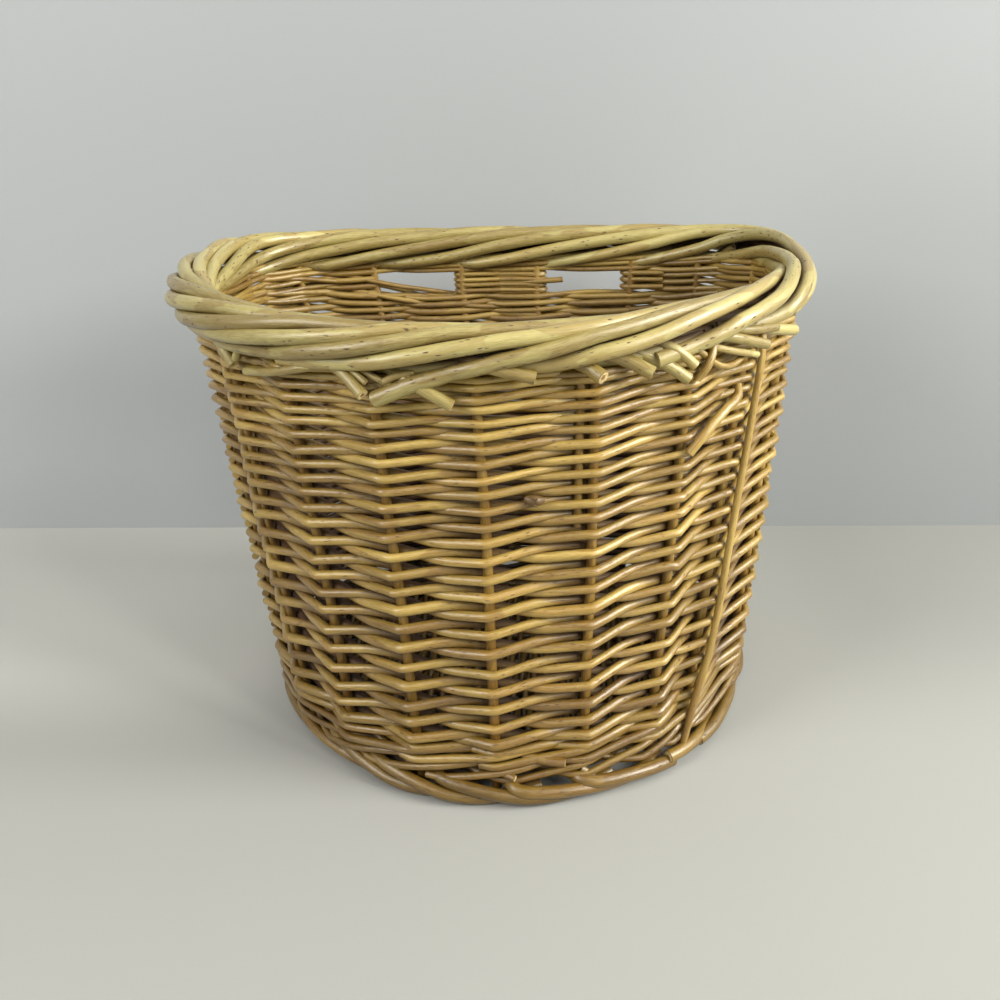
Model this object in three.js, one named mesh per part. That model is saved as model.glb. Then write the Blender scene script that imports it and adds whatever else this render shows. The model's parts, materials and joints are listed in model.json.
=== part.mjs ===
// Wicker bicycle basket with a flat back, a bowed front and two strap slots
import * as THREE from 'three';

// Driving sizes in millimetres, front of the basket toward -Y, rim up
const overallHeight = 286;
const rimHalfWidth = 178;
const rimFrontDepth = 149;
const rimBackDepth = 97;
const baseHalfWidth = 157;
const baseFrontDepth = 143.5;
const baseBackDepth = 88;
const rimOverhang = 4;
const frontRoundness = 2.0;
const backSquareness = 3.6;
const clearance = 0.3;

// Side stakes
const slotWidth = 54;
const middleSpacing = 47;
const slotGroupShift = 8;
const backCornerSpacing = 48;
const roundStakeCount = 13;
const stakeFootRadius = 3.2;
const stakeTopRadius = 2.4;
const stakeSides = 6;

// Side weaving, one weaver passing in front of and behind alternate stakes
const footWeaverThickness = 6.2;
const slotWeaverThickness = 3.8;
const topWeaverThickness = 3.5;
const weaverNodes = 5;
const strandGap = 0.2;

// Rope border of the rim
const ropeRods = 5;
const rimRodButtRadius = 4.2;
const rimRodTipRadius = 3.0;
const ropeCoreRadius = 7.65;
const ropeStartAngle = -60;
const ropeStepsPerSpan = 3;

// Tail of a rim rod: in from the rope, down, and out under the top weaver as a stub
const tailStartReach = 10.5;
const tailWideReach = 13.5;
const tailCrossReach = 7.5;
const tailFirstDrop = 6.5;
const tailOuterReach = 5.2;
const stubOuterReach = 8.2;
const stubSpan = 5.12;

// Foot border and the slanting rod on the right
const footRods = 6;
const footRodRadius = 4.4;
const footOuterOffset = 3.4;
const footOverlapSpans = 0.7;
const leaningRodRadius = 2.6;
const leaningRodFootStation = 10.72;
const leaningRodTopStation = 11.12;

// Base
const baseFrameRadius = 3.2;
const baseStickRadius = 2.8;
const baseWeaverRadius = 2.2;
const baseWeaverPitch = 7.8;
const wrapClearance = 0.6;
const baseStickCount = 5;

const strawColour = 0xdcc489;
const honeyColour = 0xc49a58;
const brownColour = 0xa87a3e;

const group = new THREE.Group();

// Plan curve of the basket at an angle, from its half width and its two depths
function planPoint(angle, halfWidth, frontDepth, backDepth) {
  const c = Math.cos(angle);
  const s = Math.sin(angle);
  const power = s < 0 ? 2 / frontRoundness : 2 / backSquareness;
  const depth = s < 0 ? frontDepth : backDepth;
  const x = halfWidth * Math.sign(c) * Math.abs(c) ** power;
  const y = depth * Math.sign(s) * Math.abs(s) ** power;
  return new THREE.Vector2(x, y);
}

const rodCoreHeight = overallHeight - ropeCoreRadius - rimRodButtRadius;
const ropeUnderside = rodCoreHeight - ropeCoreRadius - rimRodButtRadius;
const wallTop = ropeUnderside - clearance;

// Middle surface of the woven wall, straight from the base outline to just inside the rim
function wallPlan(angle, z) {
  const k = z / wallTop;
  const halfWidth = THREE.MathUtils.lerp(baseHalfWidth, rimHalfWidth - rimOverhang, k);
  const frontDepth = THREE.MathUtils.lerp(baseFrontDepth, rimFrontDepth - rimOverhang, k);
  const backDepth = THREE.MathUtils.lerp(baseBackDepth, rimBackDepth - rimOverhang, k);
  return planPoint(angle, halfWidth, frontDepth, backDepth);
}

// Arc length along the wall at mid height, from the middle of the back, seen from above anticlockwise
const arcSamples = 3600;
const arcAngles = [];
const arcLengths = [0];
for (let i = 0; i <= arcSamples; i += 1) {
  arcAngles.push(Math.PI / 2 + (2 * Math.PI * i) / arcSamples);
  if (i > 0) {
    const here = wallPlan(arcAngles[i], wallTop / 2);
    const before = wallPlan(arcAngles[i - 1], wallTop / 2);
    arcLengths.push(arcLengths[i - 1] + here.distanceTo(before));
  }
}
const girth = arcLengths[arcSamples];

function angleAtArc(arc) {
  const turns = Math.floor(arc / girth);
  const rest = arc - turns * girth;
  let low = 0;
  let high = arcSamples;
  while (high - low > 1) {
    const middle = (low + high) >> 1;
    if (arcLengths[middle] > rest) {
      high = middle;
    } else {
      low = middle;
    }
  }
  const share = (rest - arcLengths[low]) / (arcLengths[high] - arcLengths[low]);
  return arcAngles[low] + share * (arcAngles[high] - arcAngles[low]) + 2 * Math.PI * turns;
}

// Stations: one whole number for each stake, the strap slots between 16 and 17 and between 18 and 19
const leftSlotArc = slotGroupShift + middleSpacing / 2 + slotWidth;
const rightSlotArc = girth + slotGroupShift - middleSpacing / 2 - slotWidth;
const roundSpan = rightSlotArc - leftSlotArc - 2 * backCornerSpacing;
const stakeArcs = [leftSlotArc, leftSlotArc + backCornerSpacing];
for (let i = 1; i <= roundStakeCount; i += 1) {
  stakeArcs.push(leftSlotArc + backCornerSpacing + (roundSpan * i) / (roundStakeCount + 1));
}
stakeArcs.push(rightSlotArc - backCornerSpacing);
stakeArcs.push(rightSlotArc);
stakeArcs.push(rightSlotArc + slotWidth);
stakeArcs.push(rightSlotArc + slotWidth + middleSpacing);
const stakeCount = stakeArcs.length;
const lastStation = stakeCount - 1;
const rightSlotStation = stakeCount - 3;

function arcAtStation(station) {
  const turn = Math.floor(station / stakeCount);
  const rest = station - turn * stakeCount;
  const low = Math.floor(rest);
  const from = stakeArcs[low];
  const to = low + 1 < stakeCount ? stakeArcs[low + 1] : stakeArcs[0] + girth;
  return from + (to - from) * (rest - low) + turn * girth;
}

// Point at a station and height, moved outward from the wall, with the outward direction
function wallFrame(station, z) {
  const angle = angleAtArc(arcAtStation(station));
  const here = wallPlan(angle, z);
  const ahead = wallPlan(angle + 0.01, z);
  const behind = wallPlan(angle - 0.01, z);
  const tangent = ahead.sub(behind).normalize();
  return { here, outward: new THREE.Vector2(tangent.y, -tangent.x) };
}

function wallPoint(station, z, offset) {
  const { here, outward } = wallFrame(station, z);
  return new THREE.Vector3(here.x + outward.x * offset, here.y + outward.y * offset, z);
}

// Closed rod swept through points, one radius at each point, kinks mitred in plan
function rodGeometry(points, radii, sides, firstAngle) {
  const positions = [];
  const indices = [];
  const up = new THREE.Vector3(0, 0, 1);
  const across = new THREE.Vector3(1, 0, 0);
  const last = points.length - 1;
  points.forEach((point, i) => {
    const into = points[Math.max(i, 1)].clone().sub(points[Math.max(i, 1) - 1]).normalize();
    const from = points[Math.min(i + 1, last)].clone().sub(points[Math.min(i, last - 1)]).normalize();
    const tangent = into.clone().add(from).normalize();
    const mitre = 1 / Math.max(tangent.dot(into), 0.75);
    const reference = Math.abs(tangent.z) > 0.85 ? across : up;
    const side = new THREE.Vector3().crossVectors(tangent, reference).normalize();
    const over = new THREE.Vector3().crossVectors(side, tangent);
    for (let j = 0; j < sides; j += 1) {
      const turn = firstAngle + (2 * Math.PI * j) / sides;
      const corner = point.clone();
      corner.addScaledVector(side, Math.cos(turn) * radii[i] * mitre);
      corner.addScaledVector(over, Math.sin(turn) * radii[i]);
      positions.push(corner.x, corner.y, corner.z);
    }
  });
  for (let i = 0; i < last; i += 1) {
    for (let j = 0; j < sides; j += 1) {
      const a = i * sides + j;
      const b = i * sides + ((j + 1) % sides);
      indices.push(a, b, b + sides, a, b + sides, a + sides);
    }
  }
  for (let j = 1; j < sides - 1; j += 1) {
    indices.push(0, j + 1, j);
    indices.push(last * sides, last * sides + j, last * sides + j + 1);
  }
  const geometry = new THREE.BufferGeometry();
  geometry.setAttribute('position', new THREE.Float32BufferAttribute(positions, 3));
  geometry.setIndex(indices);
  turnOutward(geometry);
  geometry.computeVertexNormals();
  return geometry;
}

// Flips every face when the volume comes out negative
function turnOutward(geometry) {
  const position = geometry.attributes.position;
  const index = geometry.index;
  const a = new THREE.Vector3();
  const b = new THREE.Vector3();
  const c = new THREE.Vector3();
  let volume = 0;
  for (let i = 0; i < index.count; i += 3) {
    a.fromBufferAttribute(position, index.getX(i));
    b.fromBufferAttribute(position, index.getX(i + 1));
    c.fromBufferAttribute(position, index.getX(i + 2));
    volume += a.dot(b.cross(c));
  }
  if (volume < 0) {
    for (let i = 0; i < index.count; i += 3) {
      const second = index.getX(i + 1);
      index.setX(i + 1, index.getX(i + 2));
      index.setX(i + 2, second);
    }
  }
}

function addRod(name, points, radii, sides, firstAngle, colour) {
  const material = new THREE.MeshStandardMaterial({ color: colour, roughness: 0.45, metalness: 0 });
  const mesh = new THREE.Mesh(rodGeometry(points, radii, sides, firstAngle), material);
  mesh.name = name;
  group.add(mesh);
}

function numbered(name, i) {
  return `${name}_${String(i + 1).padStart(2, '0')}`;
}

// Foot border: flat side down, each rod starts inside the last one's cut end and swings outside it
const footRodHeight = footRodRadius * Math.cos(Math.PI / 6);
const footTop = 2 * footRodHeight;
const footSpan = stakeCount / footRods;
const footGapSpans = 0.1;
const footInnerOffset = footOuterOffset - 2 * footRodRadius - 2 * clearance;
for (let i = 0; i < footRods; i += 1) {
  const start = i * footSpan - footOverlapSpans;
  const end = (i + 1) * footSpan - footGapSpans;
  const steps = Math.round((end - start) * 3);
  const points = [];
  const radii = [];
  for (let k = 0; k <= steps; k += 1) {
    const station = start + ((end - start) * k) / steps;
    const swing = THREE.MathUtils.smoothstep(station, i * footSpan - 0.1, i * footSpan + 0.8);
    const offset = THREE.MathUtils.lerp(footInnerOffset, footOuterOffset, swing);
    const point = wallPoint(station, 0, offset);
    point.z = footRodHeight;
    points.push(point);
    radii.push(footRodRadius);
  }
  addRod(numbered('foot_border_rod', i), points, radii, 6, 0, brownColour);
}

// Side stakes stand on the foot border and end under the rope
const stakeFoot = footTop + clearance;

function stakeRadius(z) {
  const k = THREE.MathUtils.clamp((z - stakeFoot) / (wallTop - stakeFoot), 0, 1);
  return THREE.MathUtils.lerp(stakeFootRadius, stakeTopRadius, k);
}

for (let i = 0; i < stakeCount; i += 1) {
  const heights = [stakeFoot, (stakeFoot + wallTop) / 2, wallTop];
  const points = [];
  const radii = [];
  heights.forEach((z) => {
    points.push(wallPoint(i, z, 0));
    radii.push(stakeRadius(z));
  });
  addRod(numbered('side_stake', i), points, radii, stakeSides, 0, honeyColour);
}

// Heights from the rope down: top weaver, a free zone for the rim rods' tails, slot row, side weaving
const topRadius = topWeaverThickness / 2;
const topRowPitch = topWeaverThickness + strandGap;
const topRowHigh = wallTop - clearance - topRadius;
const topRowLow = topRowHigh - topRowPitch;
const tailRadius = rimRodTipRadius;
const tailHeight = topRowLow - topRadius - 2 * clearance - tailRadius;
const slotRadius = slotWeaverThickness / 2;
const slotPitch = slotWeaverThickness + strandGap;
const lastWeaverHeight = tailHeight - tailRadius - 2 * clearance - slotRadius - 2 * slotPitch;
const firstWeaverHeight = stakeFoot + footWeaverThickness / 2 + strandGap;

// Whole turns that fit between, thinner and closer together toward the slots
const meanPitch = (footWeaverThickness + slotWeaverThickness) / 2 + strandGap;
const wovenTurns = Math.floor((lastWeaverHeight - firstWeaverHeight) / meanPitch);
const spread = (lastWeaverHeight - firstWeaverHeight) / (wovenTurns * meanPitch);

function weaverRadius(turns) {
  return THREE.MathUtils.lerp(footWeaverThickness, slotWeaverThickness, turns / wovenTurns) / 2;
}

function weaverHeight(turns) {
  const thinning = ((footWeaverThickness - slotWeaverThickness) * turns * turns) / (2 * wovenTurns);
  return firstWeaverHeight + spread * ((footWeaverThickness + strandGap) * turns - thinning);
}

// Weaver centre beside a stake, clear of it however sharply the wall turns there
function weaverPoint(station, z, radius, outside) {
  const here = wallPoint(station, z, 0);
  const before = wallPoint(station - 1, z, 0);
  const after = wallPoint(station + 1, z, 0);
  const { outward } = wallFrame(station, z);
  const along = new THREE.Vector2(-outward.y, outward.x);
  const reach = stakeRadius(z) + radius + clearance;
  let widest = 0;
  [before, after].forEach((neighbour) => {
    const step = new THREE.Vector2(neighbour.x - here.x, neighbour.y - here.y);
    const inward = -step.dot(outward);
    const run = Math.abs(step.dot(along));
    const drop = outside ? inward + 2 * reach : 2 * reach - inward;
    widest = Math.max(widest, Math.atan2(Math.abs(drop), run));
  });
  const offset = (reach / Math.cos(widest)) * (outside ? 1 : -1);
  return wallPoint(station, z, offset);
}

// Wall weavers: one long spiral, cut into pieces whose ends rest behind a stake
const weaverSpans = wovenTurns * stakeCount;

function joinSpan(n) {
  return 2 * Math.floor((n * weaverSpans) / (2 * weaverNodes)) + 1;
}

for (let n = 0; n < weaverNodes; n += 1) {
  const first = n === 0 ? 0 : joinSpan(n);
  const end = n === weaverNodes - 1 ? weaverSpans : joinSpan(n + 1);
  const points = [];
  const radii = [];
  for (let i = first; i <= end; i += 1) {
    const turns = i / stakeCount;
    const radius = weaverRadius(turns);
    points.push(weaverPoint(i, weaverHeight(turns), radius, i % 2 === 0));
    radii.push(radius);
  }
  trimEnd(points, 0, radii[0] / 2 + clearance);
  trimEnd(points, points.length - 1, radii[0] / 2 + clearance);
  addRod(numbered('wall_weaver', n), points, radii, 4, 0, n % 2 ? honeyColour : 0xcfa865);
}

// Draws an end point back along its own rod
function trimEnd(points, end, length) {
  const inner = end === 0 ? points[1] : points[end - 1];
  const direction = inner.clone().sub(points[end]).normalize();
  points[end].addScaledVector(direction, length);
}

// Half circle of points where a weaver turns back round a slot-edge stake, climbing one level
function turnBack(station, lowZ, highZ, radius, toward, startOutside) {
  const middleZ = (lowZ + highZ) / 2;
  const { outward } = wallFrame(station, middleZ);
  const along = new THREE.Vector2(-outward.y, outward.x).multiplyScalar(toward);
  const reach = (stakeRadius(middleZ) + radius + clearance) / Math.cos(Math.PI / 8);
  const side = startOutside ? 1 : -1;
  const points = [];
  for (let k = 0; k <= 4; k += 1) {
    const turn = (Math.PI * k) / 4;
    const z = THREE.MathUtils.lerp(lowZ, highZ, k / 4);
    const centre = wallPoint(station, z, 0);
    centre.x += (outward.x * side * Math.cos(turn) + along.x * Math.sin(turn)) * reach;
    centre.y += (outward.y * side * Math.cos(turn) + along.y * Math.sin(turn)) * reach;
    points.push(centre);
  }
  return points;
}

// Slot row: two levels that turn back at the slot edges
function slotRowHeight(station, level) {
  return weaverHeight(wovenTurns - 1 + station / stakeCount) + slotPitch * level;
}

const slotRowPoints = [];
for (let i = 0; i < rightSlotStation; i += 1) {
  slotRowPoints.push(weaverPoint(i, slotRowHeight(i, 1), slotRadius, i % 2 === 1));
}
const edgeLow = slotRowHeight(rightSlotStation, 1);
const edgeHigh = slotRowHeight(rightSlotStation, 2);
const turnsOutside = rightSlotStation % 2 === 1;
slotRowPoints.push(...turnBack(rightSlotStation, edgeLow, edgeHigh, slotRadius, 1, turnsOutside));
for (let i = rightSlotStation - 1; i >= 0; i -= 1) {
  slotRowPoints.push(weaverPoint(i, slotRowHeight(i, 2), slotRadius, i % 2 === 0));
}
addRod('slot_row_weaver', slotRowPoints, slotRowPoints.map(() => slotRadius), 4, 0, honeyColour);

// Short weaver between the slots, its two cut ends standing out into the right-hand slot
const stubSpans = 0.16;
const bridgeStation = rightSlotStation + 1;
const bridgeLow = slotRowHeight(bridgeStation, 1);
const bridgeHigh = slotRowHeight(bridgeStation, 2);
const bridgeReach = stakeRadius(bridgeLow) + slotRadius + clearance;
const bridgePoints = [wallPoint(bridgeStation - stubSpans, bridgeLow, bridgeReach)];
bridgePoints.push(weaverPoint(bridgeStation, bridgeLow, slotRadius, true));
bridgePoints.push(...turnBack(lastStation, bridgeLow, bridgeHigh, slotRadius, 1, false));
bridgePoints.push(weaverPoint(bridgeStation, bridgeHigh, slotRadius, false));
bridgePoints.push(wallPoint(bridgeStation - stubSpans, bridgeHigh, -bridgeReach));
addRod('slot_bridge_weaver', bridgePoints, bridgePoints.map(() => slotRadius), 4, 0, honeyColour);

// Top weaver: two level turns under the rope, with one step between them
const topPoints = [];
for (let i = 0; i < 2 * stakeCount; i += 1) {
  const z = i < stakeCount ? topRowLow : topRowHigh;
  topPoints.push(weaverPoint(i, z, topRadius, i % 2 === 1));
}
addRod('top_weaver', topPoints, topPoints.map(() => topRadius), 4, 0, honeyColour);

// Rim rods: five to the rope, each ending as a stub that passes under the top weaver to the outside
const tailDrop = tailHeight - rodCoreHeight;

// How far a straight weaver between two stakes lies inside the curved wall
function chordHollow(station, z) {
  const low = Math.floor(station);
  const from = wallPoint(low, z, 0);
  const to = wallPoint(low + 1, z, 0);
  const { here, outward } = wallFrame(station, z);
  const share = station - low;
  const chordX = from.x + (to.x - from.x) * share;
  const chordY = from.y + (to.y - from.y) * share;
  return (here.x - chordX) * outward.x + (here.y - chordY) * outward.y;
}

const tailOffsets = [
  [4, -tailStartReach, -tailFirstDrop],
  [4 + 1 / 3, -tailWideReach, (tailDrop - tailFirstDrop) / 2],
  [4 + 2 / 3, -tailCrossReach, tailDrop],
  [5, tailOuterReach, tailDrop],
  [stubSpan, stubOuterReach, tailDrop],
];

function ropePoint(station, outwardOffset, upOffset) {
  const angle = angleAtArc(arcAtStation(station));
  const here = planPoint(angle, rimHalfWidth, rimFrontDepth, rimBackDepth);
  const ahead = planPoint(angle + 0.01, rimHalfWidth, rimFrontDepth, rimBackDepth);
  const behind = planPoint(angle - 0.01, rimHalfWidth, rimFrontDepth, rimBackDepth);
  const tangent = ahead.sub(behind).normalize();
  const x = here.x + tangent.y * outwardOffset;
  const y = here.y - tangent.x * outwardOffset;
  return new THREE.Vector3(x, y, rodCoreHeight + upOffset);
}

// A rod that would come out through a strap slot is cut short under the rope instead
function crossesSlot(rod) {
  const span = (rod + ropeRods - 1) % stakeCount;
  return span === rightSlotStation || span === lastStation;
}

for (let i = 0; i < stakeCount; i += 1) {
  const points = [];
  const radii = [];
  const cutShort = crossesSlot(i);
  const steps = (ropeRods - 1) * ropeStepsPerSpan + (cutShort ? 2 : 0);
  for (let k = 0; k < steps; k += 1) {
    const span = k / ropeStepsPerSpan;
    const turn = THREE.MathUtils.degToRad(ropeStartAngle + (360 * span) / ropeRods);
    points.push(ropePoint(i + span, Math.cos(turn) * ropeCoreRadius, Math.sin(turn) * ropeCoreRadius));
    radii.push(THREE.MathUtils.lerp(rimRodButtRadius, rimRodTipRadius * 1.13, span / ropeRods));
  }
  if (!cutShort) {
    tailOffsets.forEach(([span, outwardOffset, upOffset]) => {
      const hollow = chordHollow(i + span, tailHeight);
      points.push(ropePoint(i + span, outwardOffset - hollow, upOffset));
      radii.push(span === 4 ? tailRadius * 1.1 : tailRadius);
    });
  }
  addRod(numbered('rim_rod', i), points, radii, 6, 0, strawColour);
}

// Slanting rod outside the weave, from the foot border to the underside of the rope
const leaningPoints = [];
const leaningSteps = 5;
const leaningTop = tailHeight - tailRadius - 2 * clearance;
for (let k = 0; k <= leaningSteps; k += 1) {
  const share = k / leaningSteps;
  const z = THREE.MathUtils.lerp(leaningRodRadius + clearance, leaningTop, share);
  const station = THREE.MathUtils.lerp(leaningRodFootStation, leaningRodTopStation, share);
  const strand = THREE.MathUtils.lerp(footWeaverThickness, slotWeaverThickness, share);
  const weaveOffset = stakeRadius(z) + 3 * clearance + strand + leaningRodRadius;
  const footOffset = footOuterOffset + footRodRadius + clearance + leaningRodRadius;
  leaningPoints.push(wallPoint(station, z, k === 0 ? footOffset : weaveOffset));
}
addRod('leaning_rod', leaningPoints, leaningPoints.map(() => leaningRodRadius), 6, 0, honeyColour);

// Base frame: a rod bent to the D outline, just inside the foot of the weaving
const wrapReach = baseFrameRadius + wrapClearance + baseWeaverRadius;
const innerWall = stakeFootRadius + clearance + footWeaverThickness;
const innerReach = Math.max(innerWall, footRodRadius - footInnerOffset) + wrapClearance;
const baseInset = innerReach + wrapReach + baseWeaverRadius;
const baseFrameHalfWidth = baseHalfWidth - baseInset;
const baseFrameFront = baseFrontDepth - baseInset;
const baseFrameBack = baseBackDepth - baseInset;

function baseOutline(angle) {
  return planPoint(angle, baseFrameHalfWidth, baseFrameFront, baseFrameBack);
}

// Y of the base outline at an x, on the front or the back
function baseEdge(x, front) {
  const ratio = Math.min(Math.abs(x) / baseFrameHalfWidth, 1);
  const power = front ? frontRoundness : backSquareness;
  const share = (1 - ratio ** power) ** (1 / power);
  return front ? -baseFrameFront * share : baseFrameBack * share;
}

// How much the outline slants there, as the cosine of its angle to the X axis
function edgeCosine(x, front) {
  const step = baseWeaverPitch / 16;
  const rise = baseEdge(Math.abs(x) + step, front) - baseEdge(Math.abs(x) - step, front);
  return (2 * step) / Math.hypot(2 * step, rise);
}

// Cross sticks run left to right inside the frame
const stickPitch = (baseFrameFront + baseFrameBack) / (baseStickCount + 1);
const lift = wrapReach / Math.cos(Math.atan((2 * wrapReach) / stickPitch));
const baseHeight = lift + baseWeaverRadius + clearance;
const stickYs = [];
for (let i = 0; i < baseStickCount; i += 1) {
  const y = -baseFrameFront + stickPitch * (i + 1);
  const depth = y < 0 ? baseFrameFront : baseFrameBack;
  const power = y < 0 ? frontRoundness : backSquareness;
  const half = baseFrameHalfWidth * (1 - Math.abs(y / depth) ** power) ** (1 / power);
  const slant = edgeCosine(half, y < 0);
  const endGap = baseFrameRadius + 2 * clearance + baseStickRadius * slant;
  const reach = half - endGap / Math.sqrt(1 - slant * slant);
  stickYs.push(y);
  const points = [-reach, 0, reach].map((x) => new THREE.Vector3(x, y, baseHeight));
  addRod(numbered('base_stick', i), points, points.map(() => baseStickRadius), 6, 0, honeyColour);
}

const framePoints = [];
const frameSteps = 40;
for (let k = 0; k <= frameSteps; k += 1) {
  const point = baseOutline(Math.PI / 2 + (2 * Math.PI * k) / frameSteps);
  framePoints.push(new THREE.Vector3(point.x, point.y, baseHeight));
}
trimEnd(framePoints, 0, clearance);
trimEnd(framePoints, frameSteps, clearance);
addRod('base_frame', framePoints, framePoints.map(() => baseFrameRadius), 6, 0, honeyColour);

// Base weaver runs front to back, over and under, and wraps the frame at each turn
const nearEdge = 0.8 * stickPitch;
const rowCount = 2 * Math.floor((0.9 * baseFrameHalfWidth) / baseWeaverPitch) + 1;

function rowCrossings(r) {
  const x = (r - (rowCount - 1) / 2) * baseWeaverPitch;
  const front = baseEdge(x, true);
  const back = baseEdge(x, false);
  const sides = [];
  stickYs.forEach((y, i) => {
    if (y > front + baseFrameRadius && y < back - baseFrameRadius) {
      sides.push({ x, y, up: (i + r) % 2 === 0 ? 1 : -1 });
    }
  });
  const first = sides[0];
  const last = sides[sides.length - 1];
  const frontUp = first.y - front < nearEdge ? first.up : -first.up;
  const backUp = back - last.y < nearEdge ? last.up : -last.up;
  return [{ x, y: front, up: frontUp }, ...sides, { x, y: back, up: backUp }];
}

const basePoints = [];
for (let r = 0; r < rowCount; r += 1) {
  const forward = r % 2 === 0;
  const row = forward ? rowCrossings(r) : rowCrossings(r).reverse();
  row.forEach((crossing) => {
    basePoints.push(new THREE.Vector3(crossing.x, crossing.y, baseHeight + lift * crossing.up));
  });
  if (r < rowCount - 1) {
    const end = row[row.length - 1];
    const next = forward ? rowCrossings(r + 1).pop() : rowCrossings(r + 1)[0];
    const turnX = end.x + baseWeaverPitch / 2;
    const reach = wrapReach / edgeCosine(turnX, !forward);
    const turnY = baseEdge(turnX, !forward) + (forward ? reach : -reach);
    basePoints.push(new THREE.Vector3(turnX - baseWeaverPitch / 8, turnY, baseHeight + lift * end.up));
    basePoints.push(new THREE.Vector3(turnX + baseWeaverPitch / 8, turnY, baseHeight + lift * next.up));
  }
}
addRod('base_weaver', basePoints, basePoints.map(() => baseWeaverRadius), 4, 0, honeyColour);

// Origin at the middle of the outline, on the underside
const extent = new THREE.Box3().setFromObject(group);
const middle = extent.getCenter(new THREE.Vector3());
group.children.forEach((mesh) => {
  mesh.geometry.translate(-middle.x, -middle.y, -extent.min.z);
});

export default group;
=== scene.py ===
# %% [markdown]
# # A willow bicycle basket
# This basket hangs on a handlebar: it has a flat back with two slots for straps, a bowed front,
# a woven wall that widens toward the rim, and a thick rope-like border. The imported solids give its
# size. Here they are dressed with real rods: everything on this basket is one kind of thing, a long
# tapered stick of willow, bent in a different way for each part.
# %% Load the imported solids
import json
import math
import bpy
import numpy as np
from mathutils import Matrix, Vector

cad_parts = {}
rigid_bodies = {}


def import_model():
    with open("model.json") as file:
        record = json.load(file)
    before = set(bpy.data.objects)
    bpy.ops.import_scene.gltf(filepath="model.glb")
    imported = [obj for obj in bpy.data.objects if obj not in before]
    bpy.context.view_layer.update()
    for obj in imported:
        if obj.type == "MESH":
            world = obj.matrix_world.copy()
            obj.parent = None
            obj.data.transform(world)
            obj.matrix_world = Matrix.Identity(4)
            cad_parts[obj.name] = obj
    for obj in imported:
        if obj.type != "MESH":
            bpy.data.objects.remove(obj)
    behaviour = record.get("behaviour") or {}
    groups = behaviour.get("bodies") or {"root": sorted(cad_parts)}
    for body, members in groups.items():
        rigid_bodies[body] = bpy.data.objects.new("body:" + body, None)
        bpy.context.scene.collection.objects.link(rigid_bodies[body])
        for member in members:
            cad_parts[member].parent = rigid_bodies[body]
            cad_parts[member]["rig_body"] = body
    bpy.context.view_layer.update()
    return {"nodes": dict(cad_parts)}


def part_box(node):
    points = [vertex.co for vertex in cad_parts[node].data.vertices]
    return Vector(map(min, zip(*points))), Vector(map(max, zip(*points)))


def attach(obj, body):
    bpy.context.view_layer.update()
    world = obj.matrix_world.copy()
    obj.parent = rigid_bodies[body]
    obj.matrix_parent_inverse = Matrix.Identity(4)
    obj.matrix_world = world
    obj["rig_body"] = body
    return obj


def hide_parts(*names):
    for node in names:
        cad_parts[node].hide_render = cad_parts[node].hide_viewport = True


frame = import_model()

# %% [markdown]
# ## Camera
# The camera stands in front and a little to the right, and looks down at the rim. Its place was found
# by matching the outline of the rim, the wall and the foot. It is also tipped a little to one side,
# which makes the rim climb to the right.
# %% Camera
eye = Vector((0.0636, -0.5155, 0.3861))
look = Vector((-0.10748, 0.89368, -0.43565)).normalized()
side = Vector((0.99419, 0.09384, -0.05278))
side = (side - look * side.dot(look)).normalized()
camera_data = bpy.data.cameras.new("basket_camera")
camera_data.lens = 32.4
camera = bpy.data.objects.new("basket_camera", camera_data)
bpy.context.scene.collection.objects.link(camera)
turn = Matrix((side, side.cross(look), -look)).transposed()
camera.matrix_world = Matrix.Translation(eye) @ turn.to_4x4()
bpy.context.scene.camera = camera
print("camera at", tuple(round(v, 3) for v in eye), "up", tuple(round(v, 3) for v in turn.col[1]))

# %% [markdown]
# ## Sizes
# These are the sizes of the solids, in metres. A place on the wall is given by a station, a height and
# a distance outward. Stations are whole numbers at the stakes: 0 is at the left strap slot, and they
# run round the left side and along the front to the right side and the back.
# %% Sizes and the plan of the basket
MM = 0.001
RIM_HALF, RIM_FRONT, RIM_BACK = 178 * MM, 149 * MM, 97 * MM
BASE_HALF, BASE_FRONT, BASE_BACK = 157 * MM, 143.5 * MM, 88 * MM
RIM_OVERHANG = 4 * MM
ROPE_HEIGHT = 274.15 * MM
WALL_TOP = 262 * MM
PLAN_SHIFT = 25.9 * MM
STAKES, SPACING, FRONT_STAKE = 19, 50 * MM, 8
FRONT_POWER, BACK_POWER = 2.0, 3.6
SLOT_WIDTH, BRIDGE_WIDTH, BESIDE_SLOT = 54 * MM, 47 * MM, 48 * MM


def plan(angle, half, front, back):
    """Outline at an angle: a bowed front half and a squarer back half."""
    c, s = np.cos(angle), np.sin(angle)
    power = 2 / np.where(s < 0, FRONT_POWER, BACK_POWER)
    depth = np.where(s < 0, front, back)
    x = half * np.sign(c) * np.abs(c) ** power
    y = depth * np.sign(s) * np.abs(s) ** power
    return np.stack([x, y], -1)


def wall_sizes(height):
    """Half width, front depth and back depth of the wall."""
    ends = ((BASE_HALF, RIM_HALF), (BASE_FRONT, RIM_FRONT), (BASE_BACK, RIM_BACK))
    return [base + (rim - RIM_OVERHANG - base) * (height / WALL_TOP) for base, rim in ends]


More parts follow.
